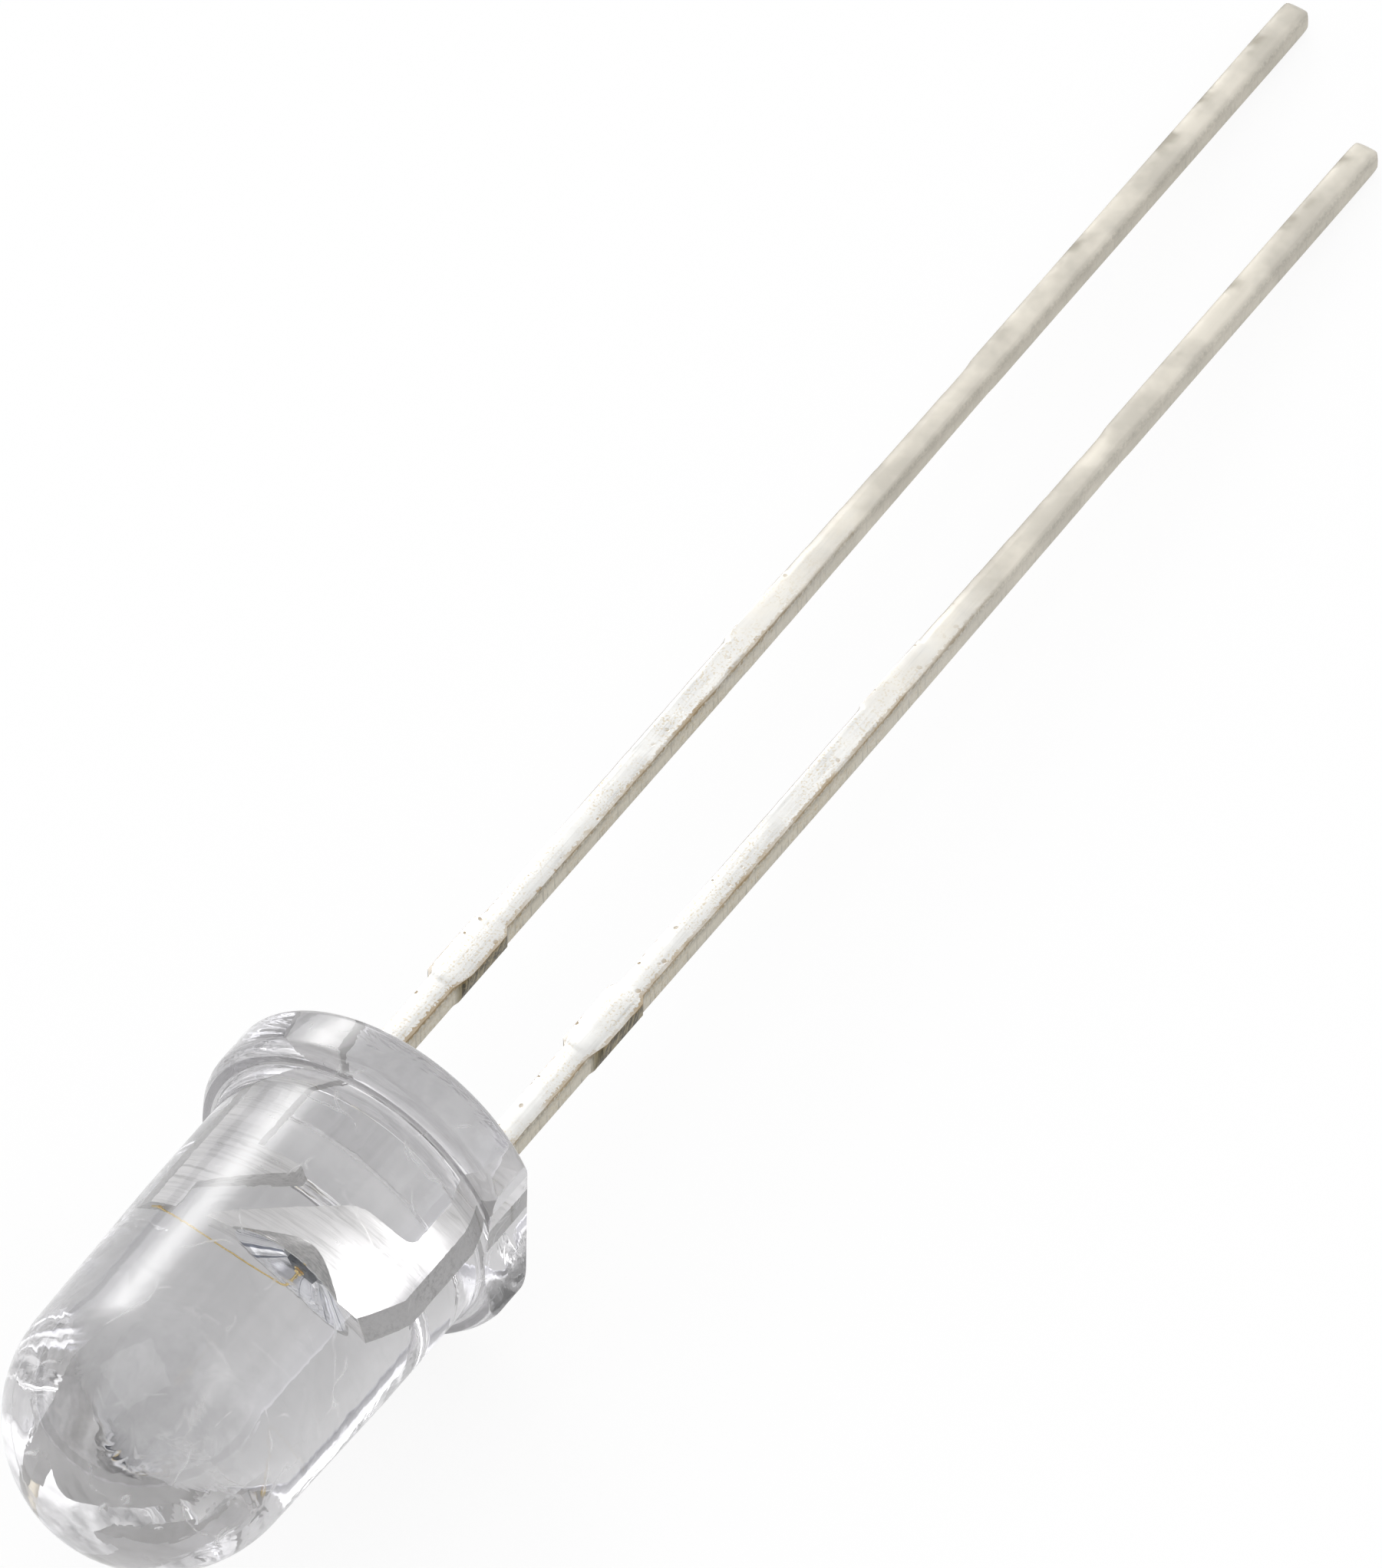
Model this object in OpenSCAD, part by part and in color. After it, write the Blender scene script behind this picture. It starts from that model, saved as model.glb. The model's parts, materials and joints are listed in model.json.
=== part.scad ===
// Round 5 mm LED with a clear domed lens and two straight leads, lying as it comes to rest:
// the back rim of the flange and the tips of both leads touch the ground.
// Each piece is drawn upright, with the back of the flange at z = 0, the dome upwards, the
// leads downwards and the cathode towards +x, and lay_down() then lays the whole LED down.

/* [Lens] */
// Diameter of the straight part of the barrel
barrel_d = 5; // [4.8:0.05:5.2]
// Height of the end of the straight part above the back of the flange
straight_z = 3.56; // [2.5:0.01:4.5]
// Diameter of the dome, a little less for the draft of the mould
dome_d = 4.87; // [4.7:0.01:4.95]
// Height of the lens from the back of the flange to the tip of the dome
lens_h = 8.93; // [8:0.01:10]
// Diameter of the flange
flange_d = 5.87; // [5.7:0.01:6.2]
// Thickness of the flange
flange_t = 1.06; // [0.8:0.01:1.4]
// Radius on the front edge of the flange
flange_front_r = 0.3; // [0.1:0.05:0.4]
// Radius on the back edge of the flange
flange_back_r = 0.15; // [0.05:0.05:0.2]
// Radius of the fillet between the flange and the barrel
fillet_r = 0.3; // [0.1:0.05:0.4]
// Distance of the cathode flat outside the barrel
flat_step = 0.06; // [0.02:0.01:0.2]

/* [Leads] */
// Distance between the centres of the two leads
lead_pitch = 2.54; // [2.4:0.02:2.7]
// Offset of both leads from the lens axis, as cast, towards the cathode
frame_shift = 0.1; // [0:0.01:0.12]
// Width of a lead beside the lens
lead_w = 0.46; // [0.4:0.01:0.5]
// Thickness of the metal strip that both leads are stamped from
strip_t = 0.42; // [0.36:0.01:0.5]
// Thickness of the tin that the dipped ends carry on each side
tin_t = 0.025; // [0.01:0.005:0.06]
// Distance from the flange to where the tin starts to thicken
tin_start = 7; // [5:0.5:9]
// Distance over which the tin thickens to its full value
tin_rise = 12; // [4:0.5:14]
// Length of the anode lead below the flange
anode_l = 28.05; // [24:0.05:30]
// Length of the cathode lead below the flange
cathode_l = 26.15; // [23.5:0.05:29]
// Diameter of the circle that rounds the corners of the tinned ends
tin_round_d = 0.58; // [0.56:0.01:0.66]
// Bevel round the cut tip of a lead
tip_bevel = 0.13; // [0.05:0.01:0.18]

/* [Dam bar stubs] */
// Distance from the flange to the near end of the stubs
stub_start = 3.21; // [2:0.01:3.4]
// Length of the stubs along the lead
stub_l = 1.55; // [0.8:0.05:1.6]
// Height of a stub above the side of the lead, at the upper face of the strip
stub_h = 0.1; // [0.05:0.01:0.2]
// Height of a stub at the lower face of the strip, where the cut leans inwards
stub_foot_h = 0.03; // [0.01:0.01:0.05]
// Length of the slope at the flange end of a stub on the cathode side of its lead
stub_near_slope = 0.4; // [0.1:0.05:0.5]
// Length of the slope at the flange end of a stub on the anode side of its lead
stub_back_slope = 0.12; // [0.05:0.01:0.5]
// Length of the slope at the end of a stub towards the tip
stub_far_slope = 0.15; // [0.1:0.05:0.3]

/* [Anvil and cup] */
// Height of the rim of the reflector cup above the back of the flange
rim_z = 3.52; // [3.4:0.01:3.6]
// Reach of the anvil from the middle of the cup towards the anode
anvil_reach = 0.95; // [0.85:0.01:1]
// Height of the edge of the anvil at that end
anvil_lip = 0.08; // [0.05:0.01:0.2]
// Height of the underside of the anvil above the back of the flange
anvil_z = 1.84; // [1.6:0.01:2]
// Distance of the low end of the anvil's sloping edge from the middle of the cup
slope_foot = 0.13; // [0:0.01:0.2]
// Radius that turns the sloping edge into the underside
slope_foot_r = 0.35; // [0.1:0.05:0.4]
// Width of the neck between the anvil and the lead
neck_w = 0.52; // [0.48:0.01:0.6]
// Radius of the notch between the underside and the neck
notch_r = 0.2; // [0.1:0.01:0.25]
// Reach of the anvil's top edge from the middle of the cup towards the outside
shoulder = 1.05; // [0.9:0.01:1.1]
// Drop of the bevel between the anvil's top edge and its outer side
shoulder_h = 0.87; // [0.5:0.01:1]
// Outer diameter of the cup at its rim
cup_rim_d = 1.46; // [1.42:0.01:1.6]
// Diameter of the mouth of the cup
cup_mouth_d = 1.3; // [1.2:0.01:1.34]
// Diameter of the floor of the cup
cup_floor_d = 0.62; // [0.56:0.01:0.7]
// Depth of the cup
cup_depth = 0.25; // [0.22:0.01:0.3]
// Height of the cone that the cup is pressed into, from the strip's faces to the rim
cup_cone_h = 0.55; // [0.5:0.01:0.8]

/* [Anode post] */
// Height of the top of the anode post above the back of the flange
post_z = 3.58; // [3.4:0.01:3.64]
// Length of the level top of the anode post, where the wire is bonded
post_top_l = 0.26; // [0.2:0.01:0.3]
// Gap between the sloping edges of the post and of the anvil
frame_gap = 0.5; // [0.4:0.01:0.55]
// Distance of the inner corner of the post's head from the middle of the cup
post_corner = 0.59; // [0.5:0.01:0.7]

/* [Die and wire] */
// Width and length of the die
die_w = 0.25; // [0.22:0.01:0.32]
// Height of the die
die_h = 0.12; // [0.08:0.01:0.14]
// Diameter of the dot of adhesive under the die
attach_d = 0.48; // [0.47:0.01:0.54]
// Thickness of the adhesive
attach_t = 0.02; // [0.01:0.005:0.03]
// Diameter of the metal contact on top of the die
contact_d = 0.12; // [0.1:0.01:0.16]
// Thickness of the metal contact
contact_t = 0.01; // [0.005:0.001:0.02]
// Diameter of the bond wire
wire_d = 0.03; // [0.02:0.005:0.04]
// Diameter of the ball at the die end of the wire
ball_d = 0.09; // [0.07:0.01:0.1]
// Height of the ball after it is pressed on the contact
ball_h = 0.06; // [0.05:0.005:0.065]
// Height of the bend of the wire above the rim of the cup
bend_h = 0.3; // [0.25:0.01:0.4]
// Radius of the bend of the wire above the die
bend_r = 0.09; // [0.06:0.01:0.12]
// Rise of the wire after its bend, before it arches over to the post, in degrees
bend_rise = 12; // [5:1:20]
// Diameter of the flattened end of the wire on the anode post
stitch_d = 0.11; // [0.08:0.01:0.14]
// Thickness of the flattened end
stitch_t = 0.015; // [0.01:0.005:0.02]

/* [Hidden] */
$fn = 96;

// Length by which cutting shapes run past what they cut
past = 1;
// Flat pieces that round a turn of a stamped outline
turn_steps = 8;
// Radii and heights of the lens
barrel_r = barrel_d / 2;
flange_r = flange_d / 2;
dome_r = dome_d / 2;
dome_z = lens_h - dome_r;
flat_x = barrel_r + flat_step;
// Outer and inner sides of a lead, from the middle of the lead frame
lead_x = lead_pitch / 2;
outer_x = lead_x + lead_w / 2;
inner_x = lead_x - lead_w / 2;
tip_w = lead_w + 2 * tin_t;
tip_t = strip_t + 2 * tin_t;
// Ends of the sloping edge of the anvil, and the direction from its top to its foot
slope_top = [-anvil_reach, rim_z - anvil_lip];
slope_end = [slope_foot, anvil_z];
slope_way = (slope_end - slope_top) / norm(slope_end - slope_top);
// Point of the post's sloping edge, one gap away from the anvil's
post_slope = slope_top + frame_gap * [slope_way[1], -slope_way[0]];
// Heights of the cup's floor and of what is stacked on it
cup_floor_z = rim_z - cup_depth;
die_z = cup_floor_z + attach_t;
contact_z = die_z + die_h;
ball_z = contact_z + contact_t;
// Wire: centre of its bend, the end of the bend, the flattened end, and the arc between these
bend_turn = 90 - bend_rise;
bend_centre = [-bend_r, rim_z + bend_h - bend_r];
bend_end = bend_centre + bend_r * [cos(bend_turn), sin(bend_turn)];
stitch = [post_top_l / 2 - outer_x, post_z + wire_d / 2];
chord_fall = atan2(bend_end[1] - stitch[1], bend_end[0] - stitch[0]);
arch_r = norm(stitch - bend_end) / 2 / sin(bend_rise + chord_fall);
arch_sweep = 2 * (bend_rise + chord_fall);

// Lie of the LED. The anode is the longer lead, so the plane of the leads rolls a little:
// roll_k is that roll for each unit of the pitch of the axis, and contact_l is the length
// from the resting rim of the flange to the lowest corners of the tips, roll included.
roll_k = (anode_l - cathode_l) / lead_pitch;
contact_l = (anode_l + cathode_l) / 2 - tip_bevel + flange_back_r + roll_k * (tip_w / 2 + frame_shift);
quad_a = contact_l * contact_l - flange_r * flange_r * roll_k * roll_k;
quad_b = contact_l * tip_t;
quad_c = tip_t * tip_t / 4 - flange_r * flange_r;
pitch_k = (sqrt(quad_b * quad_b - 4 * quad_a * quad_c) - quad_b) / (2 * quad_a);
// Directions of the ground's upright, long axis and cross axis, seen in the upright LED
upright = [-roll_k * pitch_k, 1, pitch_k] / norm([-roll_k * pitch_k, 1, pitch_k]);
level = sqrt(1 - upright[2] * upright[2]);
along = [upright[2] * upright[0] / level, upright[2] * upright[1] / level, -level];
across = cross(upright, along);
// Height of the lens axis above the ground at the back of the flange, and middle of the length
rest_h = (flange_r - flange_back_r) * level + flange_back_r * (1 - upright[2]);
middle = (level * (anode_l - dome_z) - dome_r) / 2;

module lay_down() {
    multmatrix([
        [along[0], along[1], along[2], -middle],
        [across[0], across[1], across[2], 0],
        [upright[0], upright[1], upright[2], rest_h],
        [0, 0, 0, 1],
    ])
        children();
}

// Place of the lead frame and of all that sits on it, off the lens axis by the casting offset
module on_frame() {
    translate([frame_shift, 0, 0])
        children();
}

// Points of an arc of radius r that rounds the corner b of an outline that runs a, b, c
function turn(a, b, c, r) =
    let (
        u = (a - b) / norm(a - b),
        v = (c - b) / norm(c - b),
        half = acos(u * v) / 2,
        centre = b + (u + v) / norm(u + v) * r / sin(half),
        first = b + u * r / tan(half) - centre,
        side = sign(u[1] * v[0] - u[0] * v[1])
    )
    [
        for (i = [0:turn_steps])
            let (angle = side * (180 - 2 * half) * i / turn_steps)
            centre + [
                first[0] * cos(angle) - first[1] * sin(angle),
                first[0] * sin(angle) + first[1] * cos(angle)
            ]
    ];

// Region between a square corner and the arc of radius r that touches both of its sides
module corner(r) {
    difference() {
        square(r);
        translate([r, r])
            circle(r);
    }
}

// Half section of the cast body, to be turned about the lens axis
module lens_section() {
    difference() {
        square([flange_r, flange_t]);
        translate([flange_r, flange_t])
            rotate(180)
                corner(flange_front_r);
        translate([flange_r, 0])
            rotate(90)
                corner(flange_back_r);
    }
    translate([barrel_r, flange_t])
        corner(fillet_r);
    polygon([[0, 0], [barrel_r, 0], [barrel_r, straight_z], [dome_r, dome_z], [0, dome_z]]);
    translate([0, dome_z])
        intersection() {
            circle(dome_r);
            square(dome_r);
        }
}

module cast_body() {
    difference() {
        rotate_extrude()
            lens_section();
        translate([flat_x, -flange_r, -past])
            cube([flange_r, flange_d, flange_t + fillet_r + past]);
    }
}

// Sheet of the metal strip, standing in the xz plane, with the outline of its children
module strip() {
    rotate([90, 0, 0])
        linear_extrude(strip_t, center = true)
            children();
}

// Outline of a straight lead: half width a beside the lens, tinned to half width b at the tip
module lead_outline(l, a, b) {
    tip = b - tip_bevel;
    right = [[a, past], [a, -tin_start], [b, -tin_start - tin_rise], [b, tip_bevel - l], [tip, -l]];
    left = [for (i = [len(right) - 1:-1:0]) [-right[i][0], right[i][1]]];
    polygon(concat(right, left));
}

// Envelope that leaves the bar square beside the lens and rounds its corners under the tin
module tin_round(l) {
    rise_end = tin_start + tin_rise;
    bar_r = norm([tip_w, tip_t]) / 2;
    translate([0, 0, -tin_start])
        cylinder(h = tin_start + 2 * past, r = bar_r);
    translate([0, 0, -rise_end])
        cylinder(h = tin_rise, r1 = tin_round_d / 2, r2 = bar_r);
    translate([0, 0, -l])
        cylinder(h = l - rise_end, d = tin_round_d);
}

// Straight lead of square bar below the flange, with its tinned end and bevelled tip
module lead_bar(l) {
    intersection() {
        rotate([90, 0, 0])
            linear_extrude(2 * tip_t, center = true)
                lead_outline(l, lead_w / 2, tip_w / 2);
        rotate([90, 0, 90])
            linear_extrude(2 * tip_w, center = true)
                lead_outline(l, strip_t / 2, tip_t / 2);
        tin_round(l);
    }
}

// Remains of the dam bar that joined the leads, cut off on both sides of a lead
module dam_bar_stubs() {
    near = -stub_start;
    far = -stub_start - stub_l;
    root = lead_w / 2;
    crest = root + stub_h;
    foot = root + stub_foot_h;
    intersection() {
        strip()
            polygon([
                [root, near], [crest, near - stub_near_slope], [crest, far + stub_far_slope], [root, far],
                [-root, far], [-crest, far + stub_far_slope], [-crest, near - stub_back_slope], [-root, near]
            ]);
        translate([0, 0, far])
            linear_extrude(stub_l)
                polygon([
                    [crest, strip_t / 2], [foot, -strip_t / 2],
                    [-foot, -strip_t / 2], [-crest, strip_t / 2]
                ]);
    }
}

module straight_lead(x, l) {
    translate([x, 0, 0]) {
        lead_bar(l);
        dam_bar_stubs();
    }
}

// Outline of the anode's post, with a head whose edge slopes like the anvil's
module post_outline() {
    fall = slope_way[1] / slope_way[0];
    top_end = post_top_l - outer_x;
    polygon([
        [-outer_x, 0], [-inner_x, 0], [-inner_x, anvil_z], [-post_corner, anvil_z],
        [-post_corner, post_slope[1] - fall * (post_corner + post_slope[0])],
        [top_end, post_slope[1] + fall * (top_end - post_slope[0])],
        [top_end, post_z], [-outer_x, post_z]
    ]);
}

// Outline of the cathode's neck and of the anvil that carries the cup
module anvil_outline() {
    neck_x = outer_x - neck_w;
    notch = [neck_x, anvil_z];
    bevel_end = [outer_x, rim_z - shoulder_h];
    polygon(concat(
        [[neck_x, 0], [outer_x, 0], bevel_end, [shoulder, rim_z], [-anvil_reach, rim_z], slope_top],
        turn(slope_top, slope_end, notch, slope_foot_r),
        turn(slope_end, notch, [neck_x, 0], notch_r)
    ));
}

// Cone that bulges out of both faces of the strip round the cup
module cup_cone() {
    translate([0, 0, rim_z - cup_cone_h])
        cylinder(h = cup_cone_h, r1 = strip_t / 2, r2 = cup_rim_d / 2);
}

module cup_hollow() {
    translate([0, 0, cup_floor_z])
        cylinder(h = cup_depth, d1 = cup_floor_d, d2 = cup_mouth_d);
    translate([0, 0, rim_z])
        cylinder(h = past, d = cup_mouth_d);
}

module anode_shape() {
    on_frame() {
        straight_lead(-lead_x, anode_l);
        strip()
            post_outline();
    }
}

module cathode_shape() {
    on_frame() {
        straight_lead(lead_x, cathode_l);
        difference() {
            union() {
                strip()
                    anvil_outline();
                cup_cone();
            }
            cup_hollow();
        }
    }
}

module attach_shape() {
    on_frame()
        translate([0, 0, cup_floor_z])
            cylinder(h = attach_t, d = attach_d);
}

module die_shape() {
    on_frame()
        translate([-die_w / 2, -die_w / 2, die_z])
            cube([die_w, die_w, die_h]);
}

module contact_shape() {
    on_frame()
        translate([0, 0, contact_z])
            cylinder(h = contact_t, d = contact_d);
}

// Arc of wire of radius r about the origin, from the x axis over a sweep
module wire_arc(r, sweep) {
    rotate_extrude(angle = sweep)
        translate([r, 0])
            circle(d = wire_d);
}

// Bond wire: pressed ball, upright rise, bend, arch over to the post, and flattened end
module wire_shape() {
    on_frame() {
        translate([0, 0, ball_z])
            intersection() {
                translate([0, 0, ball_h / 2])
                    sphere(d = ball_d);
                cylinder(h = ball_h, d = 2 * ball_d);
            }
        translate([0, 0, ball_z + ball_h / 2])
            cylinder(h = bend_centre[1] - ball_z - ball_h / 2, d = wire_d);
        translate([bend_centre[0], 0, bend_centre[1]])
            rotate([90, 0, 0]) {
                wire_arc(bend_r, bend_turn);
                rotate(bend_turn)
                    translate([bend_r, 0])
                        translate([-arch_r, 0])
                            wire_arc(arch_r, arch_sweep);
            }
        translate([stitch[0], 0, post_z])
            cylinder(h = stitch_t, d = stitch_d);
    }
}

module lens() {
    color([0.93, 0.94, 0.97, 0.35])
        lay_down()
            difference() {
                cast_body();
                anode_shape();
                cathode_shape();
                attach_shape();
                die_shape();
                contact_shape();
                wire_shape();
            }
}

module anode_lead() {
    color("gainsboro")
        lay_down()
            anode_shape();
}

module cathode_lead() {
    color("silver")
        lay_down()
            cathode_shape();
}

module led_die() {
    color("dimgray")
        lay_down()
            die_shape();
}

module top_contact() {
    color("goldenrod")
        lay_down()
            contact_shape();
}

module die_attach() {
    color("lightgray")
        lay_down()
            attach_shape();
}

module bond_wire() {
    color("gold")
        lay_down()
            wire_shape();
}

lens();
anode_lead();
cathode_lead();
led_die();
top_contact();
die_attach();
bond_wire();
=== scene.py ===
"""Clear round LED with two tinned leads, dressed around its fixed frame."""

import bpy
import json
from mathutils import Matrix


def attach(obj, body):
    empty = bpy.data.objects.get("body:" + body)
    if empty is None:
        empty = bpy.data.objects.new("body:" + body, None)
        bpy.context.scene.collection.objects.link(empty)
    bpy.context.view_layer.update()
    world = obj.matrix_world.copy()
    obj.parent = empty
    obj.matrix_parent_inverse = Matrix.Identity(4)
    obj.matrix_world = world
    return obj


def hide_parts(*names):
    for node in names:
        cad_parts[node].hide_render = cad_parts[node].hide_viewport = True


bl_info = {
    "name": "Through-Hole LED",
    "version": (1, 0, 0),
    "blender": (4, 5, 0),
    "location": "3D View > Sidebar > LED",
    "description": "Dresses a clear round LED and its two stamped leads, and sets its stage",
    "category": "Object",
}

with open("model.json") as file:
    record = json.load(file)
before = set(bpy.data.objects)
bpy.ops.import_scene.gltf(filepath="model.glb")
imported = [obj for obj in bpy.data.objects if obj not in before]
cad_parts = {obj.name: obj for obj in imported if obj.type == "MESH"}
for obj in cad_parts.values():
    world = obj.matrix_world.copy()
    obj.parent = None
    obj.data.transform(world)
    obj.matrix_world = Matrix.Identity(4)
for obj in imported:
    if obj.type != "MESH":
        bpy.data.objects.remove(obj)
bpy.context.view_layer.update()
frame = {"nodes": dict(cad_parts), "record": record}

import json
import math

import bmesh
import bpy
from bpy.props import FloatProperty, FloatVectorProperty, PointerProperty
from mathutils import Matrix, Vector, noise

MM = 0.001
MOUNTS = {mount["name"]: mount for mount in frame["record"]["mounts"]}
BARREL = MOUNTS["lens_barrel"]
ANODE_TIP = Vector(MOUNTS["anode_leg"]["pos_m"])
CATHODE_TIP = Vector(MOUNTS["cathode_leg"]["pos_m"])
ANODE_LENGTH = MOUNTS["anode_leg"]["dims"]["length_mm"]
CATHODE_LENGTH = MOUNTS["cathode_leg"]["dims"]["length_mm"]
# The LED's own directions as it lies: the dome, the cathode, and the face of the strip.
DOMEWARD = Vector(BARREL["axis"]).normalized()
ASIDE = CATHODE_TIP - ANODE_TIP
ASIDE = (ASIDE - ASIDE.project(DOMEWARD)).normalized()
FACING = DOMEWARD.cross(ASIDE)
# The middle of the flange's back, and how the leads stand about the axis there, in mm.
BARREL_MIDDLE = (Vector(BARREL["pos_m"]) - ANODE_TIP).dot(DOMEWARD) / MM - ANODE_LENGTH
FLANGE_BACK = Vector(BARREL["pos_m"]) - DOMEWARD * BARREL_MIDDLE * MM
FRAME_SHIFT = ((ANODE_TIP + CATHODE_TIP) / 2 - FLANGE_BACK).dot(ASIDE) / MM
PITCH = (CATHODE_TIP - ANODE_TIP).dot(ASIDE) / MM
# Takes the upright LED in mm, dome up and cathode towards +X, to the way it lies, and back.
LIE = (Matrix.Translation(FLANGE_BACK) @ Matrix((ASIDE, FACING, DOMEWARD)).transposed().to_4x4()
       @ Matrix.Scale(MM, 4))
UPRIGHT = LIE.inverted()
TURN = LIE.to_3x3().normalized()

# Forms of the stamped strip that its finish follows, in mm: half its width and thickness, the dipped
# end, which thickens with its tin between two places, and the cut stubs of the dam bar.
HALF_W = 0.23
HALF_T = 0.21
TIN_T = 0.025
TIN_START = 7
TIN_END = 19
STUB_START = 3.21
STUB_END = 4.76
STUB_H = 0.1
# Past each of these lengths down a lead, the dip has rounded it once more.
DIP_LIMITS = (TIN_START + 2, TIN_START + 4, *range(TIN_END - 6, TIN_END + 2))
# The pressed cup, in mm.
CUP_FLOOR_Z = 3.27
CUP_RIM_Z = 3.52
CUP_FLOOR_R = 0.31
CUP_MOUTH_R = 0.65
CUP_CONE_H = 0.55
# The mould's swirls grow stronger over this height of the lens, in mm.
DOME_START = 5.2
DOME_FULL = 7.2
EPOXY_IOR = 1.54

# Steps of the lens's mesh, and distances within which points are merged.
SPIN_STEPS = 240
DOME_STEPS = 48
EDGE_STEPS = 8
BACK_STEPS = 6
LENS_WELD = 1e-4
NODE_WELD = 1e-8
# Angles in degrees: a face is flat below the first, and an edge is sharp above the second.
FLAT_ANGLE = 1.5
SHARP_ANGLE = 38
LEAD_SMOOTH_ANGLE = 40
# In mm: the least length of a rolled-over edge, how near a long edge a point wavers with it, and
# the steps at which a lead is cut across for that.
LONG_EDGE = 1.8
EDGE_BAND = 0.06
WAVER_STEP = 0.11

# Colours that no setting changes.
WHITE = (1.0, 1.0, 1.0)
FRECKLE = (0.46, 0.37, 0.22)
SMUDGE = (0.22, 0.2, 0.155)
# The cup's bulging outside: a mottle of its own, painted darker as shade.
BULGE_SHADED_DARK = (0.36, 0.36, 0.355)
BULGE_SHADED_LIGHT = (0.62, 0.615, 0.6)
CUP_WALL = (0.95, 0.96, 0.98)
# Dark radial lines of painted reflection in the polished cup.
CUP_REFLECTED_STREAK = (0.2, 0.22, 0.28)
ADHESIVE = (0.5, 0.51, 0.53)
FLAKE = (0.86, 0.87, 0.88)

VALUE = "NodeSocketFloat"
VECTOR = "NodeSocketVector"


# Settings


class LedLensSettings(bpy.types.PropertyGroup):
    barrel_d: FloatProperty(
        name="Barrel diameter", description="Straight part of the lens, in mm",
        default=2 * BARREL["dims"]["r_mm"], min=1)
    straight_z: FloatProperty(
        name="Straight height", description="Flange back to the start of the draft, in mm",
        default=BARREL_MIDDLE + BARREL["dims"]["length_mm"] / 2, min=1)
    dome_d: FloatProperty(
        name="Dome diameter", description="Diameter of the dome, in mm", default=4.87, min=1)
    height: FloatProperty(
        name="Height", description="Flange back to the tip of the dome, in mm", default=8.93, min=2)
    flange_d: FloatProperty(
        name="Flange diameter", description="Diameter of the flange, in mm", default=5.87, min=1)
    flange_t: FloatProperty(
        name="Flange thickness", description="Thickness of the flange, in mm", default=1.06, min=0.1)
    front_r: FloatProperty(
        name="Front radius", description="Radius on the flange's front edge, in mm", default=0.3, min=0)
    back_r: FloatProperty(
        name="Back radius", description="Radius on the flange's back edge, in mm", default=0.15, min=0)
    fillet_r: FloatProperty(
        name="Fillet", description="Fillet between flange and barrel, in mm", default=0.3, min=0)
    flat_x: FloatProperty(
        name="Flat", description="Distance of the cathode flat from the axis, in mm", default=2.56, min=1)
    # Painted shade: a grey standing for the shadowed floor seen through the water-clear epoxy.
    tint: FloatVectorProperty(
        name="Epoxy tint", description="Colour that the cast epoxy gives to light", subtype="COLOR",
        size=3, min=0, max=1, default=(0.585, 0.58, 0.589))


class LedLeadSettings(bpy.types.PropertyGroup):
    edge_r: FloatProperty(
        name="Edge radius", description="Radius that softens the stamped edges, in mm", default=0.026, min=0)
    roll_r: FloatProperty(
        name="Roll-over", description="Radius of the long edge that the punch rolled over, in mm",
        default=0.07, min=0)
    waver: FloatProperty(
        name="Waver", description="How far a sheared edge wavers, in mm", default=0.02, min=0)
    tin: FloatVectorProperty(
        name="Tin", description="Colour of the plated strip", subtype="COLOR",
        size=3, min=0, max=1, default=(0.665, 0.662, 0.645))
    # Partly painted shade: dull cut steel, kept darker for the grey surroundings the sheared sides mirror.
    cut: FloatVectorProperty(
        name="Cut side", description="Colour of the sheared sides", subtype="COLOR",
        size=3, min=0, max=1, default=(0.64, 0.6, 0.51))
    dip: FloatVectorProperty(
        name="Dipped tin", description="Colour of the satin tin on the dipped ends", subtype="COLOR",
        size=3, min=0, max=1, default=(0.46, 0.434, 0.379))
    plate: FloatVectorProperty(
        name="Plating", description="Colour of the strip inside the epoxy", subtype="COLOR",
        size=3, min=0, max=1, default=(0.91, 0.905, 0.895))
    stub: FloatVectorProperty(
        name="Cut stub", description="Colour of the cut ends of the dam bar", subtype="COLOR",
        size=3, min=0, max=1, default=(0.07, 0.06, 0.038))
    burr: FloatVectorProperty(
        name="Burr", description="Colour of the torn line along a sheared edge", subtype="COLOR",
        size=3, min=0, max=1, default=(0.31, 0.215, 0.095))


class LedInnerSettings(bpy.types.PropertyGroup):
    die: FloatVectorProperty(
        name="Die", description="Colour of the die", subtype="COLOR",
        size=3, min=0, max=1, default=(0.055, 0.065, 0.085))
    gold: FloatVectorProperty(
        name="Gold", description="Colour of the wire and of the contact", subtype="COLOR",
        size=3, min=0, max=1, default=(0.97, 0.73, 0.28))


class LedStageSettings(bpy.types.PropertyGroup):
    distance: FloatProperty(
        name="Camera distance", description="Camera to the middle of the view, in m",
        default=0.6792, min=0.1, unit="LENGTH")
    focal: FloatProperty(
        name="Focal length", description="Focal length of the camera, in mm", default=1000, min=50)
    room: FloatProperty(
        name="Room", description="Brightness of the plain room", default=0.62, min=0)
    key: FloatProperty(
        name="Key glow", description="Brightness of the small soft key light", default=6.8, min=0)
    sky: FloatProperty(
        name="Broad glow", description="Brightness of the broad light above", default=0.3, min=0)
    side: FloatProperty(
        name="Side glow", description="Brightness of the low light at the side", default=2.2, min=0)
    rim: FloatProperty(
        name="Rim glows", description="Brightness of the soft lights that show in dome and flange",
        default=1.4, min=0)
    floor: FloatVectorProperty(
        name="Floor", description="Colour of the floor", subtype="COLOR",
        size=3, min=0, max=1, default=(0.82, 0.82, 0.82))


# Meshes


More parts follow.
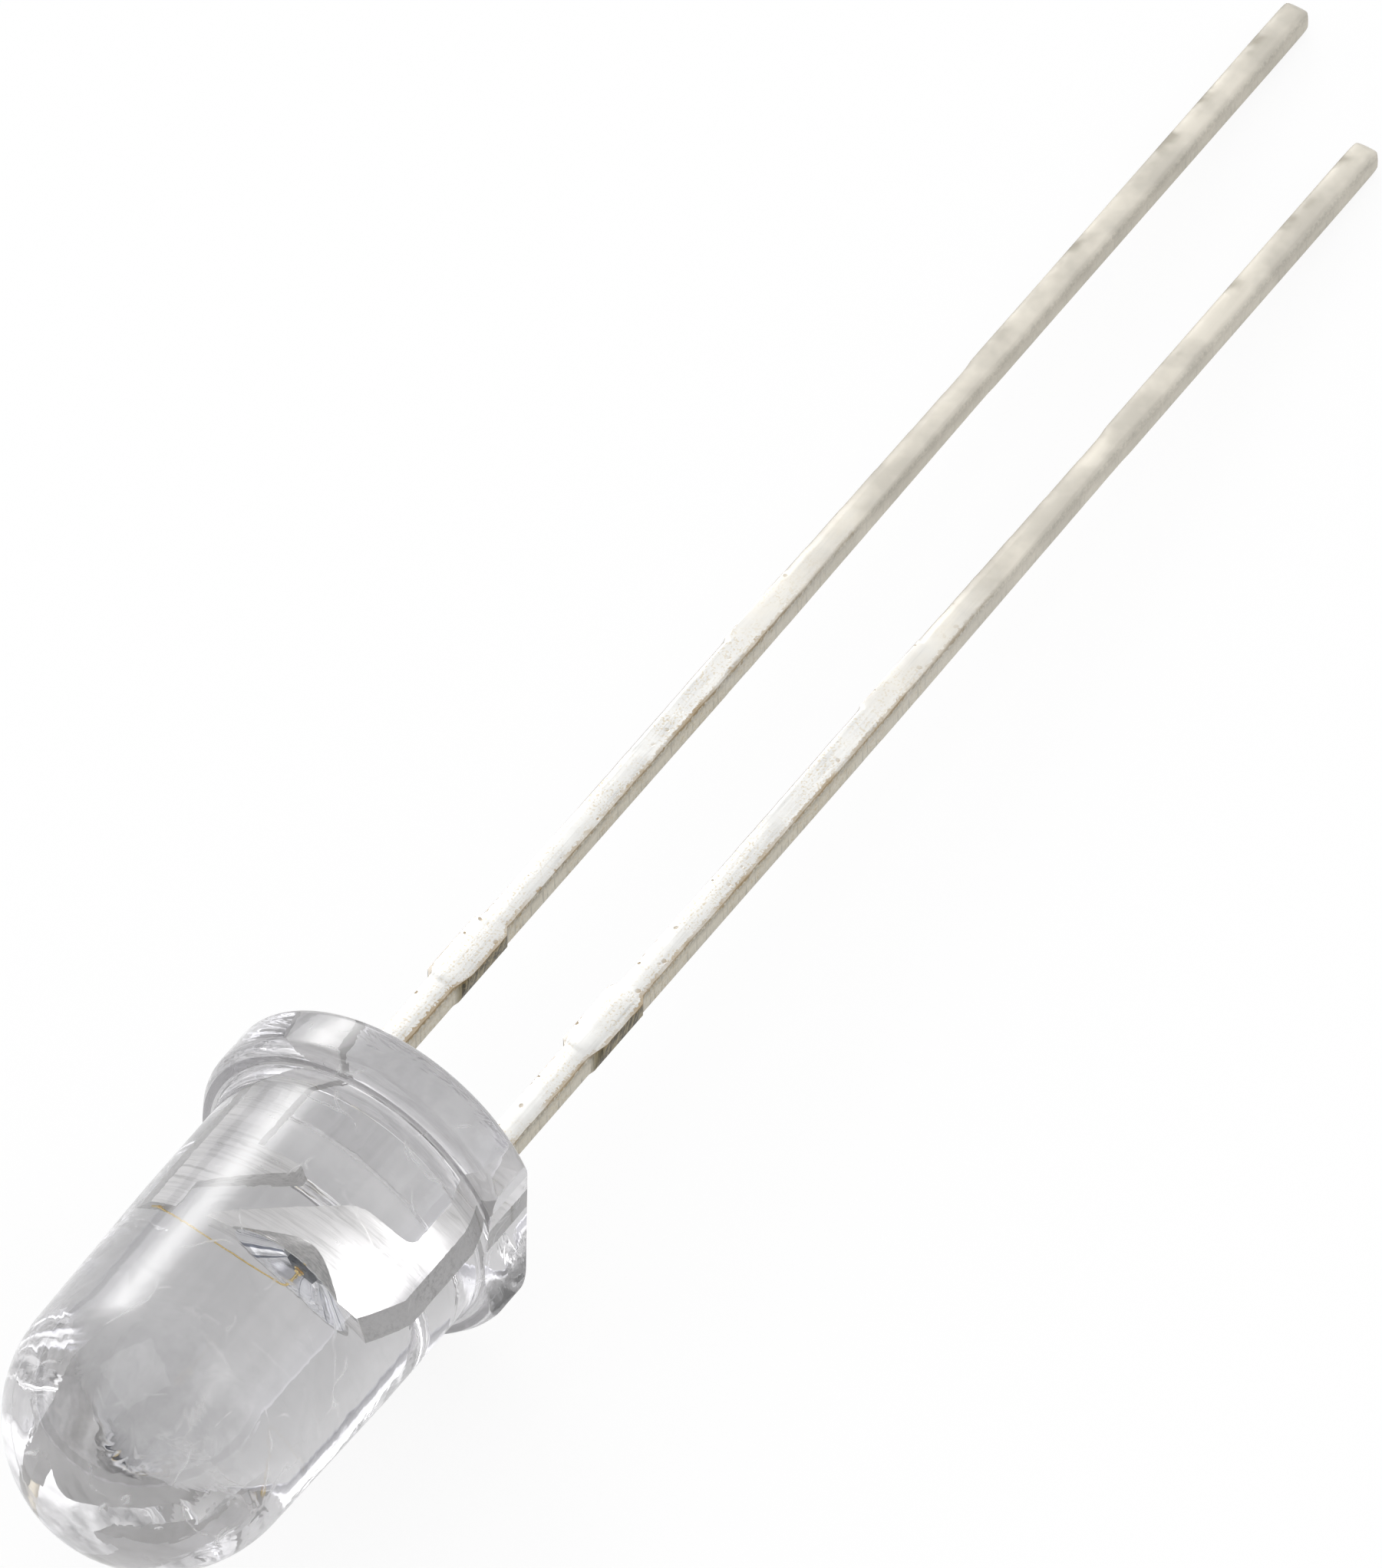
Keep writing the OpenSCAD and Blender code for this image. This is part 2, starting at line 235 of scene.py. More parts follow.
def finish_piece(bm, name, nodes, material, smooth_angle=30):
    """Makes an object of a bmesh in place, lets it ride with the LED, and hides the nodes it stands in for.
    """
    bmesh.ops.recalc_face_normals(bm, faces=bm.faces)
    mesh = bpy.data.meshes.new(name)
    bm.to_mesh(mesh)
    bm.free()
    for face in mesh.polygons:
        face.use_smooth = True
    mesh.set_sharp_from_angle(angle=math.radians(smooth_angle))
    mesh.materials.append(material)
    piece = bpy.data.objects.new(name, mesh)
    bpy.context.scene.collection.objects.link(piece)
    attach(piece, "root")
    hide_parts(*nodes)
    return piece


def flat_faces_stay_flat(piece):
    """Keeps the shading of broad flat faces level where they meet rounded edges."""
    level = piece.modifiers.new("Level shading", "WEIGHTED_NORMAL")
    level.keep_sharp = True
    level.weight = 100


def arc(centre, radius, start, end, steps):
    """Points of an arc in the XZ plane, from one angle to another, in degrees."""
    angles = [math.radians(start + (end - start) * i / steps) for i in range(steps + 1)]
    return [Vector((centre[0] + radius * math.cos(a), 0, centre[1] + radius * math.sin(a))) for a in angles]


def lens_mesh(lens):
    """The outside of the cast body: its section spun about the axis, and the cathode flat cut off."""
    barrel, flange, dome = lens.barrel_d / 2, lens.flange_d / 2, lens.dome_d / 2
    back, front, fillet = lens.back_r, lens.front_r, lens.fillet_r
    section = [Vector((0, 0, 0))]
    section += arc((flange - back, back), back, -90, 0, BACK_STEPS)
    section += arc((flange - front, lens.flange_t - front), front, 0, 90, EDGE_STEPS)
    section += arc((barrel + fillet, lens.flange_t + fillet), fillet, -90, -180, EDGE_STEPS)
    section += [Vector((barrel, 0, lens.straight_z))]
    section += arc((0, lens.height - dome), dome, 0, 90, DOME_STEPS)[:-1]
    section += [Vector((0, 0, lens.height))]
    bm = bmesh.new()
    points = [bm.verts.new(point) for point in section]
    edges = [bm.edges.new(pair) for pair in zip(points, points[1:])]
    bmesh.ops.spin(bm, geom=points + edges, cent=(0, 0, 0), axis=(0, 0, 1), angle=2 * math.pi,
                   steps=SPIN_STEPS, use_merge=True)
    bmesh.ops.remove_doubles(bm, verts=bm.verts, dist=LENS_WELD)
    bmesh.ops.bisect_plane(bm, geom=bm.verts[:] + bm.edges[:] + bm.faces[:],
                           plane_co=(lens.flat_x, 0, 0), plane_no=(1, 0, 0), clear_outer=True)
    bmesh.ops.holes_fill(bm, edges=[edge for edge in bm.edges if edge.is_boundary])
    bmesh.ops.transform(bm, matrix=LIE, verts=bm.verts)
    return bm


def lead_at(side):
    """How far the lead on a side stands from the axis in mm: a negative side is the anode's."""
    return FRAME_SHIFT + math.copysign(PITCH / 2, side)


def softened(node, radius, roll):
    """A merged copy of a lead, rounded where the punch rolled it over, and then on all sharp edges."""
    bm = bmesh.new()
    bm.from_mesh(frame["nodes"][node].data)
    bmesh.ops.remove_doubles(bm, verts=bm.verts, dist=NODE_WELD)
    bmesh.ops.dissolve_limit(bm, angle_limit=math.radians(FLAT_ANGLE), verts=bm.verts, edges=bm.edges)
    rounded(bm, roll, [edge for edge in bm.edges if roll_over(edge)], 4)
    rounded(bm, radius, [edge for edge in bm.edges if is_sharp(edge)], 3)
    return bm


def rounded(bm, radius, edges, segments):
    """Rounds edges by a radius in mm, unless it is 0."""
    if radius > 0:
        bmesh.ops.bevel(bm, geom=edges, offset=radius * MM, offset_type="OFFSET", affect="EDGES",
                        segments=segments, profile=0.5, clamp_overlap=True, material=-1)


def is_sharp(edge):
    return len(edge.link_faces) == 2 and edge.calc_face_angle() > math.radians(SHARP_ANGLE)


def roll_over(edge):
    """Whether an edge is a long one of a bare lead, on its upper face and on the anode's side."""
    ends = [UPRIGHT @ vert.co for vert in edge.verts]
    left = lead_at(ends[0].x) - HALF_W + 0.01
    beside = all(end.x < left and end.y > HALF_T - 0.02 and end.z < 0.5 for end in ends)
    return is_sharp(edge) and beside and abs(ends[0].z - ends[1].z) > LONG_EDGE


def wavered(bm, length, amount):
    """Lets a lead's upper long edges waver, as shearing leaves them, and rounds its dipped end."""
    for i in range(1, int((length - 1) / WAVER_STEP)):
        bmesh.ops.bisect_plane(bm, geom=bm.verts[:] + bm.edges[:] + bm.faces[:], dist=1e-9,
                               plane_co=LIE @ Vector((0, 0, -i * WAVER_STEP)), plane_no=DOMEWARD)
    for vert in bm.verts:
        place = UPRIGHT @ vert.co
        lead = lead_at(place.x)
        out = place.x - lead
        between_ends = -length + 0.6 < place.z < -0.1
        if between_ends and place.y > HALF_T - EDGE_BAND and abs(out) > HALF_W - EDGE_BAND:
            side = math.copysign(1, out)
            torn = max(0.0, noise.noise(Vector((place.z * 4, side * 9, lead))) + 0.25)
            slow = noise.noise(Vector((place.z * 0.9, side * 5, lead)))
            # The cathode's side of a lead is torn more, and thick tin hides most of it.
            share = (1.0 if side > 0 else 0.35) * (1.0 if place.z > -TIN_END + 4 else 0.3)
            place.x -= side * amount * share * (torn + 0.3 * slow + 0.2)
            if side > 0:
                place.y -= amount * share * 0.6 * torn
            vert.co = LIE @ place
    # The dip leaves the ends round-edged: the further down, the rounder.
    for limit in DIP_LIMITS:
        dipped = [vert for vert in bm.verts if (UPRIGHT @ vert.co).z < -limit]
        bmesh.ops.smooth_vert(bm, verts=dipped, factor=0.5, use_axis_x=True, use_axis_y=True,
                              use_axis_z=True)
    return bm


# Shader tools


class Graph:
    """A node tree with short ways to add and link its nodes."""

    def __init__(self, tree):
        self.tree = tree

    def node(self, kind, **inputs):
        """Adds a node; settings are its own, and the other words are its inputs, with _ for a space."""
        settings = inputs.pop("settings", {})
        made = self.tree.nodes.new(kind)
        for name, value in settings.items():
            setattr(made, name, value)
        for name, value in inputs.items():
            self.put(made, name.replace("_", " "), value)
        return made

    def put(self, node, name, value):
        """Links an input, given by name or number, to a socket, or sets it to a plain value."""
        socket = node.inputs[int(name)] if name.isdigit() else node.inputs[name]
        if isinstance(value, bpy.types.NodeSocket):
            self.tree.links.new(value, socket)
        else:
            socket.default_value = value

    def group(self, tree, **inputs):
        made = self.tree.nodes.new("ShaderNodeGroup")
        made.node_tree = tree
        for name, value in inputs.items():
            self.put(made, name.replace("_", " "), value)
        return made.outputs

    def math(self, operation, *values):
        made = self.node("ShaderNodeMath", settings={"operation": operation})
        for i, value in enumerate(values):
            self.put(made, str(i), value)
        return made.outputs[0]

    def vector(self, operation, *values):
        made = self.node("ShaderNodeVectorMath", settings={"operation": operation})
        for i, value in enumerate(values):
            self.put(made, str(i), value)
        return made.outputs["Value" if operation in ("LENGTH", "DOT_PRODUCT") else "Vector"]

    def times(self, value, *others):
        for other in others:
            value = self.math("MULTIPLY", value, other)
        return value

    def plus(self, value, *others):
        for other in others:
            value = self.math("ADD", value, other)
        return value

    def outside(self, value, mask):
        """A value where a mask is 0, and nothing where it is 1."""
        return self.times(value, self.math("SUBTRACT", 1.0, mask))

    def mix(self, factor, *colours):
        made = self.node("ShaderNodeMix", settings={"data_type": "RGBA"})
        self.put(made, "0", factor)
        for name, colour in zip(("6", "7"), colours):
            self.put(made, name, colour if isinstance(colour, bpy.types.NodeSocket) else (*colour, 1)[:4])
        return made.outputs[2]

    def ramp(self, value, low, high, to_low=0.0, to_high=1.0):
        """Takes a value from one range to another, and stops at its ends."""
        made = self.node("ShaderNodeMapRange", Value=value, From_Min=low, From_Max=high, To_Min=to_low,
                         To_Max=to_high)
        return made.outputs[0]

    def between(self, mask, without, within):
        """One value where a mask is 0, and another where it is 1."""
        return self.ramp(mask, 0, 1, without, within)

    def noise(self, vector, scale, detail=4.0, roughness=0.55, distortion=0.0):
        made = self.node("ShaderNodeTexNoise", Vector=vector, Scale=scale, Detail=detail,
                         Roughness=roughness, Distortion=distortion)
        return made.outputs["Fac"]

    def split(self, vector):
        return self.node("ShaderNodeSeparateXYZ", Vector=vector).outputs


def shaded(colour, factor):
    """A colour made darker or lighter by a factor."""
    return tuple(min(1, part * factor) for part in colour)


def shader_group(name, inputs, outputs):
    """An empty shader node group with named sockets, and its input and output nodes."""
    tree = bpy.data.node_groups.new(name, "ShaderNodeTree")
    for label, kind, value in inputs:
        made = tree.interface.new_socket(name=label, in_out="INPUT", socket_type=kind)
        made.default_value = value
    for label, kind in outputs:
        tree.interface.new_socket(name=label, in_out="OUTPUT", socket_type=kind)
    graph = Graph(tree)
    return graph, graph.node("NodeGroupInput").outputs, graph.node("NodeGroupOutput")


def upright_group():
    """Where a point of the LED is when it stands upright, in mm, and how its surface faces there."""
    tree = bpy.data.node_groups.get("Upright Place")
    if tree:
        return tree
    graph, _, out = shader_group("Upright Place", [], [("Place", VECTOR), ("Facing", VECTOR)])
    where = graph.node("ShaderNodeTexCoord").outputs
    place = graph.node("ShaderNodeMapping", settings={"vector_type": "TEXTURE"}, Vector=where["Object"],
                       Location=FLANGE_BACK, Rotation=LIE.to_euler(), Scale=(MM, MM, MM))
    facing = graph.node("ShaderNodeMapping", settings={"vector_type": "VECTOR"}, Vector=where["Normal"],
                        Rotation=TURN.inverted().to_euler())
    graph.put(out, "Place", place.outputs[0])
    graph.put(out, "Facing", facing.outputs[0])
    return graph.tree


def drawn_group():
    """Fine marks left along the metal by rolling and drawing: a mask and a height."""
    tree = bpy.data.node_groups.get("Drawing Marks")
    if tree:
        return tree
    graph, given, out = shader_group(
        "Drawing Marks", [("Vector", VECTOR, (0, 0, 0)), ("Fineness", VALUE, 40.0), ("Length", VALUE, 1.0)],
        [("Mask", VALUE), ("Height", VALUE)])
    fine = graph.node("ShaderNodeCombineXYZ", X=given["Fineness"], Y=given["Fineness"], Z=given["Length"])
    stretched = graph.vector("MULTIPLY", given["Vector"], fine.outputs[0])
    lines = graph.noise(stretched, 1.0, 3.0, 0.6)
    broad = graph.noise(given["Vector"], 1.7, 2.0)
    mask = graph.times(graph.ramp(lines, 0.45, 0.7), graph.ramp(broad, 0.35, 0.65, 0.25, 1.0))
    graph.put(out, "Mask", mask)
    graph.put(out, "Height", lines)
    return graph.tree


def warped(graph, vector, scale, reach):
    """A vector that a noise pushes about, as far as its reach."""
    push = graph.node("ShaderNodeTexNoise", Vector=vector, Scale=scale).outputs["Color"]
    return graph.vector("MULTIPLY_ADD", push, (reach, reach, reach), vector)


def speck_group():
    """Scattered pits and specks of dirt: a mask that is 1 in a speck."""
    tree = bpy.data.node_groups.get("Specks")
    if tree:
        return tree
    graph, given, out = shader_group(
        "Specks", [("Vector", VECTOR, (0, 0, 0)), ("Scale", VALUE, 8.0), ("Amount", VALUE, 0.2)],
        [("Mask", VALUE)])
    moved = warped(graph, given["Vector"], graph.times(given["Scale"], 2.3), 0.06)
    cells = graph.node("ShaderNodeTexVoronoi", Vector=moved, Scale=given["Scale"]).outputs
    chance = graph.node("ShaderNodeSeparateColor", Color=cells["Color"]).outputs[0]
    near = graph.math("SUBTRACT", graph.times(chance, given["Amount"]), cells["Distance"])
    graph.put(out, "Mask", graph.ramp(near, 0.0, 0.05))
    return graph.tree


def hairline_group():
    """Fine broken scratches in all directions: a mask that is 1 on a scratch."""
    tree = bpy.data.node_groups.get("Hairlines")
    if tree:
        return tree
    graph, given, out = shader_group(
        "Hairlines", [("Vector", VECTOR, (0, 0, 0)), ("Scale", VALUE, 0.5), ("Width", VALUE, 0.006)],
        [("Mask", VALUE)])
    moved = warped(graph, given["Vector"], 0.7, 1.2)
    cells = graph.node("ShaderNodeTexVoronoi", settings={"feature": "DISTANCE_TO_EDGE"}, Vector=moved,
                       Scale=given["Scale"]).outputs
    far = graph.ramp(cells["Distance"], 0.0, given["Width"])
    kept = graph.ramp(graph.noise(given["Vector"], 1.3, 3.0), 0.5, 0.62)
    graph.put(out, "Mask", graph.outside(kept, far))
    return graph.tree


# Materials


def new_material(name):
    """A material with its graph, its surface, and the LED's upright place and facing."""
    material = bpy.data.materials.new(name)
    material.use_nodes = True
    material.node_tree.nodes.clear()
    graph = Graph(material.node_tree)
    surface = graph.node("ShaderNodeBsdfPrincipled")
    graph.node("ShaderNodeOutputMaterial", Surface=surface.outputs[0])
    return material, graph, surface, graph.group(upright_group())


def dress(graph, surface, colour, roughness, height, strength, depth):
    """Gives a surface its colour, its roughness and a bump with a strength and a depth in mm."""
    graph.put(surface, "Base Color", colour)
    graph.put(surface, "Roughness", roughness)
    bump = graph.node("ShaderNodeBump", Strength=strength, Distance=depth * MM, Height=height)
    graph.put(surface, "Normal", bump.outputs[0])


def epoxy_material(lens):
    """Cast epoxy, water-clear itself but greyed as painted shade: smooth, with faint mould waves and swirls,
    fine dust and a few hairlines.
    """
    material, graph, surface, upright = new_material("Clear Epoxy")
    place = upright["Place"]
    waves = graph.noise(place, 0.8, 2.0, 0.5, 0.4)
    swirl = graph.noise(place, 1.3, 1.0, 0.5, 2.4)
    fine = graph.noise(place, 14.0, 3.0)
    dust = graph.group(speck_group(), Vector=place, Scale=3.4, Amount=0.05)["Mask"]
    hairs = graph.group(hairline_group(), Vector=place, Scale=0.55, Width=0.018)["Mask"]
    marks = graph.math("MAXIMUM", graph.times(dust, 0.6), graph.times(hairs, 0.8))
    # The grey is painted shade for the shadowed floor seen through the lens; mould swirls lighten it a
    # little.
    tint = graph.mix(graph.ramp(swirl, 0.35, 0.7), lens.tint, shaded(lens.tint, 1.05))
    rough = graph.plus(graph.ramp(fine, 0.4, 0.75, 0.012, 0.04), graph.times(marks, 0.5))
    swirls = graph.times(swirl, graph.ramp(graph.split(place)["Z"], DOME_START, DOME_FULL, 0.6, 0.9))
    height = graph.math("SUBTRACT", graph.plus(waves, swirls), graph.times(hairs, 0.04))
    surface.inputs["IOR"].default_value = EPOXY_IOR
    surface.inputs["Transmission Weight"].default_value = 1.0
    dress(graph, surface, graph.mix(marks, tint, WHITE), rough, height, 0.35, 0.012)
    return material


def strip_shape(graph, place, lead_x):
    """The strip's own forms: depths below its long edges and its upper face, the stubs, and the lens."""
    x, y, z = graph.split(place)
    rise = graph.ramp(z, -TIN_START, -TIN_END, 0.0, TIN_T)
    near = graph.ramp(z, -STUB_START, -STUB_START - 0.3, 0.0, STUB_H)
    far = graph.ramp(z, -STUB_END, -STUB_END + 0.15, 0.0, STUB_H)
    bulge = graph.math("MINIMUM", near, far)
    aside = graph.math("SUBTRACT", x, lead_x)
    beside = graph.math("ABSOLUTE", aside)
    inwards = graph.math("SUBTRACT", graph.plus(bulge, rise, HALF_W), beside)
    below = graph.math("SUBTRACT", graph.plus(rise, HALF_T), y)
    stub = graph.times(graph.ramp(bulge, 0.01, 0.05), graph.ramp(beside, HALF_W - 0.01, HALF_W + 0.015))
    return {"z": z, "below": below, "depth": graph.math("MAXIMUM", inwards, below), "stub": stub,
            "cathodeward": graph.ramp(aside, -0.1, 0.1), "inside": graph.ramp(z, -0.05, 0.05)}


def cup_masks(graph, place):
    """Masks of the pressed cup: its polished inside, its bulging outside, the dark radial lines of painted
    reflection on its wall, its rim.
    """
    x, y, z = graph.split(place)
    out = graph.node("ShaderNodeCombineXYZ", X=graph.math("SUBTRACT", x, FRAME_SHIFT), Y=y, Z=0.0).outputs[0]
    radius = graph.vector("LENGTH", out)
    flare = (CUP_MOUTH_R - CUP_FLOOR_R) / (CUP_RIM_Z - CUP_FLOOR_Z)
    wall = graph.plus(graph.times(graph.math("SUBTRACT", z, CUP_FLOOR_Z), flare), CUP_FLOOR_R + 0.03)
    polished = graph.times(graph.math("LESS_THAN", radius, wall),
                           graph.math("GREATER_THAN", z, CUP_FLOOR_Z - 0.02))
    bulging = graph.times(graph.ramp(graph.math("ABSOLUTE", y), HALF_T + 0.005, HALF_T + 0.02),
                          graph.math("GREATER_THAN", z, CUP_RIM_Z - CUP_CONE_H))
    bulging = graph.outside(bulging, polished)
    reflected_streaks = graph.ramp(graph.noise(graph.vector("NORMALIZE", out), 5.0, 3.0, 0.7), 0.56, 0.6)
    rim = graph.math("GREATER_THAN", z, CUP_RIM_Z - 0.015)
    return polished, bulging, reflected_streaks, rim


def torn_line(graph, place, shape, facing_aside, torn):
    """The torn line along the upper long edges, widest on the cathode's side: a mask."""
    cathodeward = shape["cathodeward"]
    width = graph.times(graph.ramp(torn, 0.36, 0.62, 0.0, 0.06), graph.between(cathodeward, 0.4, 1.0))
    width = graph.plus(width, graph.times(cathodeward, 0.03))
    broken = graph.ramp(graph.noise(place, 0.8, 3.0, 0.6), 0.4, 0.58, 0.15, 1.0)
    return graph.times(graph.math("LESS_THAN", shape["depth"], width),
                       graph.ramp(facing_aside, -0.45, 0.1, 0.25, 1.0), broken)


def held_smudges(graph, place, shape, dipped):
    """Smudges where the lead was held, along the anode's side of its dipped end: a mask."""
    held = graph.ramp(graph.noise(place, 1.8, 2.0, 0.5), 0.53, 0.67)
    towards_tip = graph.ramp(shape["z"], -TIN_END, -TIN_END - 3, 0.15, 1.0)
    smudge = graph.times(held, towards_tip, graph.ramp(shape["depth"], 0.36, 0.1), dipped)
    return graph.outside(smudge, shape["cathodeward"])


def strip_material(name, lead, lead_x, with_cup):
    """Tinned stamped strip: drawn faces, duller sheared sides with a torn edge, and dipped ends."""
    material, graph, surface, upright = new_material(name)
    place = upright["Place"]
    facing = graph.split(upright["Facing"])
    shape = strip_shape(graph, place, lead_x)
    inside = shape["inside"]
    crossways = graph.node("ShaderNodeMapping", Vector=place, Rotation=(0, math.pi / 2, 0)).outputs[0]
    edgeways = graph.node("ShaderNodeMapping", Vector=place, Rotation=(math.pi / 2, 0, 0)).outputs[0]
    along = graph.group(drawn_group(), Vector=place, Fineness=22.0, Length=0.8)
    across = graph.group(drawn_group(), Vector=crossways, Fineness=17.0, Length=1.6)
    through = graph.group(drawn_group(), Vector=edgeways, Fineness=15.0, Length=1.3)["Height"]
    blotch = graph.noise(place, 2.4, 4.0, 0.6)
    cloud = graph.noise(place, 1.1, 3.0, 0.55)
    torn = graph.noise(place, 15.0, 4.0, 0.7)
    # Thicker tin hides most of the sheared sides on the dipped ends, and plating does so in the lens.
    dipped = graph.ramp(graph.plus(shape["z"], graph.times(blotch, 5.0)), -8.0, -13.0)
    covered = graph.math("MAXIMUM", dipped, inside)
    side = graph.ramp(graph.math("ABSOLUTE", facing["X"]), 0.6, 0.8)
    bare = graph.times(graph.outside(side, graph.times(dipped, 0.6)), graph.between(inside, 1.0, 0.06))
    face = graph.mix(graph.ramp(blotch, 0.35, 0.68), lead.tin, shaded(lead.tin, 0.9))
    satin_tin = graph.mix(graph.ramp(cloud, 0.4, 0.6), lead.dip, shaded(lead.dip, 1.25))
    face = graph.mix(inside, graph.mix(dipped, face, satin_tin), lead.plate)
    lines = graph.times(graph.between(inside, along["Mask"], across["Mask"]),
                        graph.between(dipped, 0.65, 0.08))
    face = graph.mix(lines, face, shaded(lead.tin, 0.62))
    # A sheared side is darker and grainy where it tore, and smoother below. Its cut colour is dull cut
    # steel, kept darker as painted shade for the grey surroundings it mirrors.
    tear = graph.ramp(graph.plus(shape["below"], graph.times(torn, 0.2)), 0.2, 0.32, 1.0, 0.25)
    tear = graph.times(tear, graph.ramp(torn, 0.38, 0.6, 0.25, 1.0))
    tear = graph.math("MAXIMUM", tear, graph.ramp(through, 0.52, 0.66, 0.0, 0.7))
    colour = graph.mix(bare, face, graph.mix(tear, lead.cut, shaded(lead.cut, 0.5)))
    streaky = graph.mix(graph.ramp(through, 0.45, 0.6), lead.stub, shaded(lead.stub, 4.0))
    colour = graph.mix(graph.times(shape["stub"], side), colour, streaky)
    # Bare tin has a torn line, freckles, and pits and specks of dirt, most of them near an edge.
    line = graph.outside(torn_line(graph, place, shape, facing["X"], torn), covered)
    dirt = graph.outside(graph.group(speck_group(), Vector=place, Scale=4.6, Amount=0.24)["Mask"], covered)
    dirt = graph.times(dirt, graph.ramp(shape["depth"], 0.22, 0.05, 0.15, 1.0))
    freckles = graph.times(graph.ramp(graph.noise(place, 24.0, 2.0, 0.5), 0.54, 0.63),
                           graph.ramp(graph.noise(place, 1.4, 2.0), 0.38, 0.56))
    colour = graph.mix(graph.times(graph.outside(freckles, covered), 0.55), colour, FRECKLE)
    spoiled = graph.math("MAXIMUM", line, dirt)
    colour = graph.mix(graph.times(spoiled, 0.75), colour, lead.burr)
    colour = graph.mix(graph.times(held_smudges(graph, place, shape, dipped), 0.7), colour, SMUDGE)
    rough = graph.plus(graph.ramp(blotch, 0.3, 0.7, 0.27, 0.4), graph.times(bare, 0.15),
                       graph.times(spoiled, 0.3), graph.times(dipped, 0.24))
    # In the lens the narrow sides are satin, so they pick up light from all round.
    narrow = graph.times(graph.ramp(graph.math("ABSOLUTE", facing["Y"]), 0.5, 0.8, 1.0, 0.0), inside)
    if with_cup:
        polished, bulging, reflected_streaks, rim = cup_masks(graph, place)
        # The bulging outside of the cup is painted darker as shade, with a mottle of its own.
        mottled = graph.mix(graph.ramp(torn, 0.4, 0.6), BULGE_SHADED_DARK, BULGE_SHADED_LIGHT)
        colour = graph.mix(graph.times(bulging, 0.85), colour, mottled)
        # The polished inside of the cup is bright silver with dark radial lines of painted reflection.
        colour = graph.mix(polished, colour, graph.mix(reflected_streaks, CUP_WALL, CUP_REFLECTED_STREAK))
        shiny = graph.math("MAXIMUM", polished, rim)
        rough = graph.times(rough, graph.between(shiny, 1.0, 0.3))
        narrow = graph.outside(narrow, shiny)
    rough = graph.plus(rough, graph.times(narrow, 0.3))
    satin = graph.math("MAXIMUM", graph.math("MAXIMUM", spoiled, dipped), narrow)
    graph.put(surface, "Metallic", graph.between(satin, 1.0, 0.4))
    drawn = graph.times(graph.between(inside, along["Height"], across["Height"]),
                        graph.between(dipped, 0.35, 0.05))
    rugged = graph.times(torn, bare, graph.between(dipped, 0.7, 0.1))
    height = graph.plus(drawn, rugged, graph.times(through, bare, 0.6))
    height = graph.math("SUBTRACT", height, graph.times(dirt, 0.8))
    dress(graph, surface, colour, rough, height, 0.5, 0.01)
    return material


def die_material(inner):
    """Dark sawn chip, mottled and with fine saw marks."""
    material, graph, surface, upright = new_material("Sawn Die")
    marks = graph.group(drawn_group(), Vector=upright["Place"], Fineness=60.0, Length=60.0)
    grain = graph.noise(upright["Place"], 30.0, 3.0)
    colour = graph.mix(graph.ramp(grain, 0.35, 0.7), inner.die, shaded(inner.die, 2.2))
    dress(graph, surface, colour, graph.ramp(grain, 0.3, 0.7, 0.25, 0.45), marks["Height"], 0.3, 0.004)
    return material


def gold_material(inner):
    """Bright gold with a fine grain."""
    material, graph, surface, upright = new_material("Bond Gold")
    grain = graph.noise(upright["Place"], 45.0, 3.0)
    colour = graph.mix(graph.ramp(grain, 0.3, 0.7), inner.gold, shaded(inner.gold, 0.78))
    surface.inputs["Metallic"].default_value = 1.0
    dress(graph, surface, colour, graph.ramp(grain, 0.3, 0.7, 0.18, 0.32), grain, 0.3, 0.002)
    return material


def adhesive_material():
    """Silver-filled adhesive: matt grey with bright flakes."""
    material, graph, surface, upright = new_material("Silver Adhesive")
    flakes = graph.group(speck_group(), Vector=upright["Place"], Scale=40.0, Amount=0.5)["Mask"]
    graph.put(surface, "Metallic", graph.times(flakes, 0.8))
    dress(graph, surface, graph.mix(flakes, ADHESIVE, FLAKE), graph.between(flakes, 0.6, 0.35), flakes,
          0.4, 0.004)
    return material


def finish_node(node, material):
    """Gives a CAD node that stays its own finish."""
    materials = frame["nodes"][node].data.materials
    materials.clear()
    materials.append(material)


# Operators


class LED_OT_lens(bpy.types.Operator):
    """Casts the clear body: flange with its flat, drafted barrel and dome"""
    bl_idname = "led.lens"
    bl_label = "Lens"

    def execute(self, context):
        lens = context.scene.led_lens
        finish_piece(lens_mesh(lens), "cast_lens", ["lens"], epoxy_material(lens))
        return {"FINISHED"}


class LED_OT_leads(bpy.types.Operator):
    """Dresses the two stamped leads, from the reflector cup and the post to the dipped tips"""
    bl_idname = "led.leads"
    bl_label = "Leads"

    def execute(self, context):
        lead = context.scene.led_leads
        for name, side, length in (("anode", -1, ANODE_LENGTH), ("cathode", 1, CATHODE_LENGTH)):
            node = name + "_lead"
            material = strip_material("Tinned Strip " + name.title(), lead, lead_at(side), side > 0)
            mesh = wavered(softened(node, lead.edge_r, lead.roll_r), length, lead.waver)
            piece = finish_piece(mesh, "stamped_" + node, [node], material,
                                 LEAD_SMOOTH_ANGLE)
            flat_faces_stay_flat(piece)
        return {"FINISHED"}


class LED_OT_die(bpy.types.Operator):
    """Finishes the die and the adhesive under it"""
    bl_idname = "led.die"
    bl_label = "Die"

    def execute(self, context):
        finish_node("led_die", die_material(context.scene.led_inner))
        finish_node("die_attach", adhesive_material())
        return {"FINISHED"}


class LED_OT_wire(bpy.types.Operator):
    """Finishes the gold bond wire and the contact that it starts from"""
    bl_idname = "led.wire"
    bl_label = "Bond wire"

    def execute(self, context):
        gold = gold_material(context.scene.led_inner)
        for node in ("bond_wire", "top_contact"):
            finish_node(node, gold)
        return {"FINISHED"}


# Stage

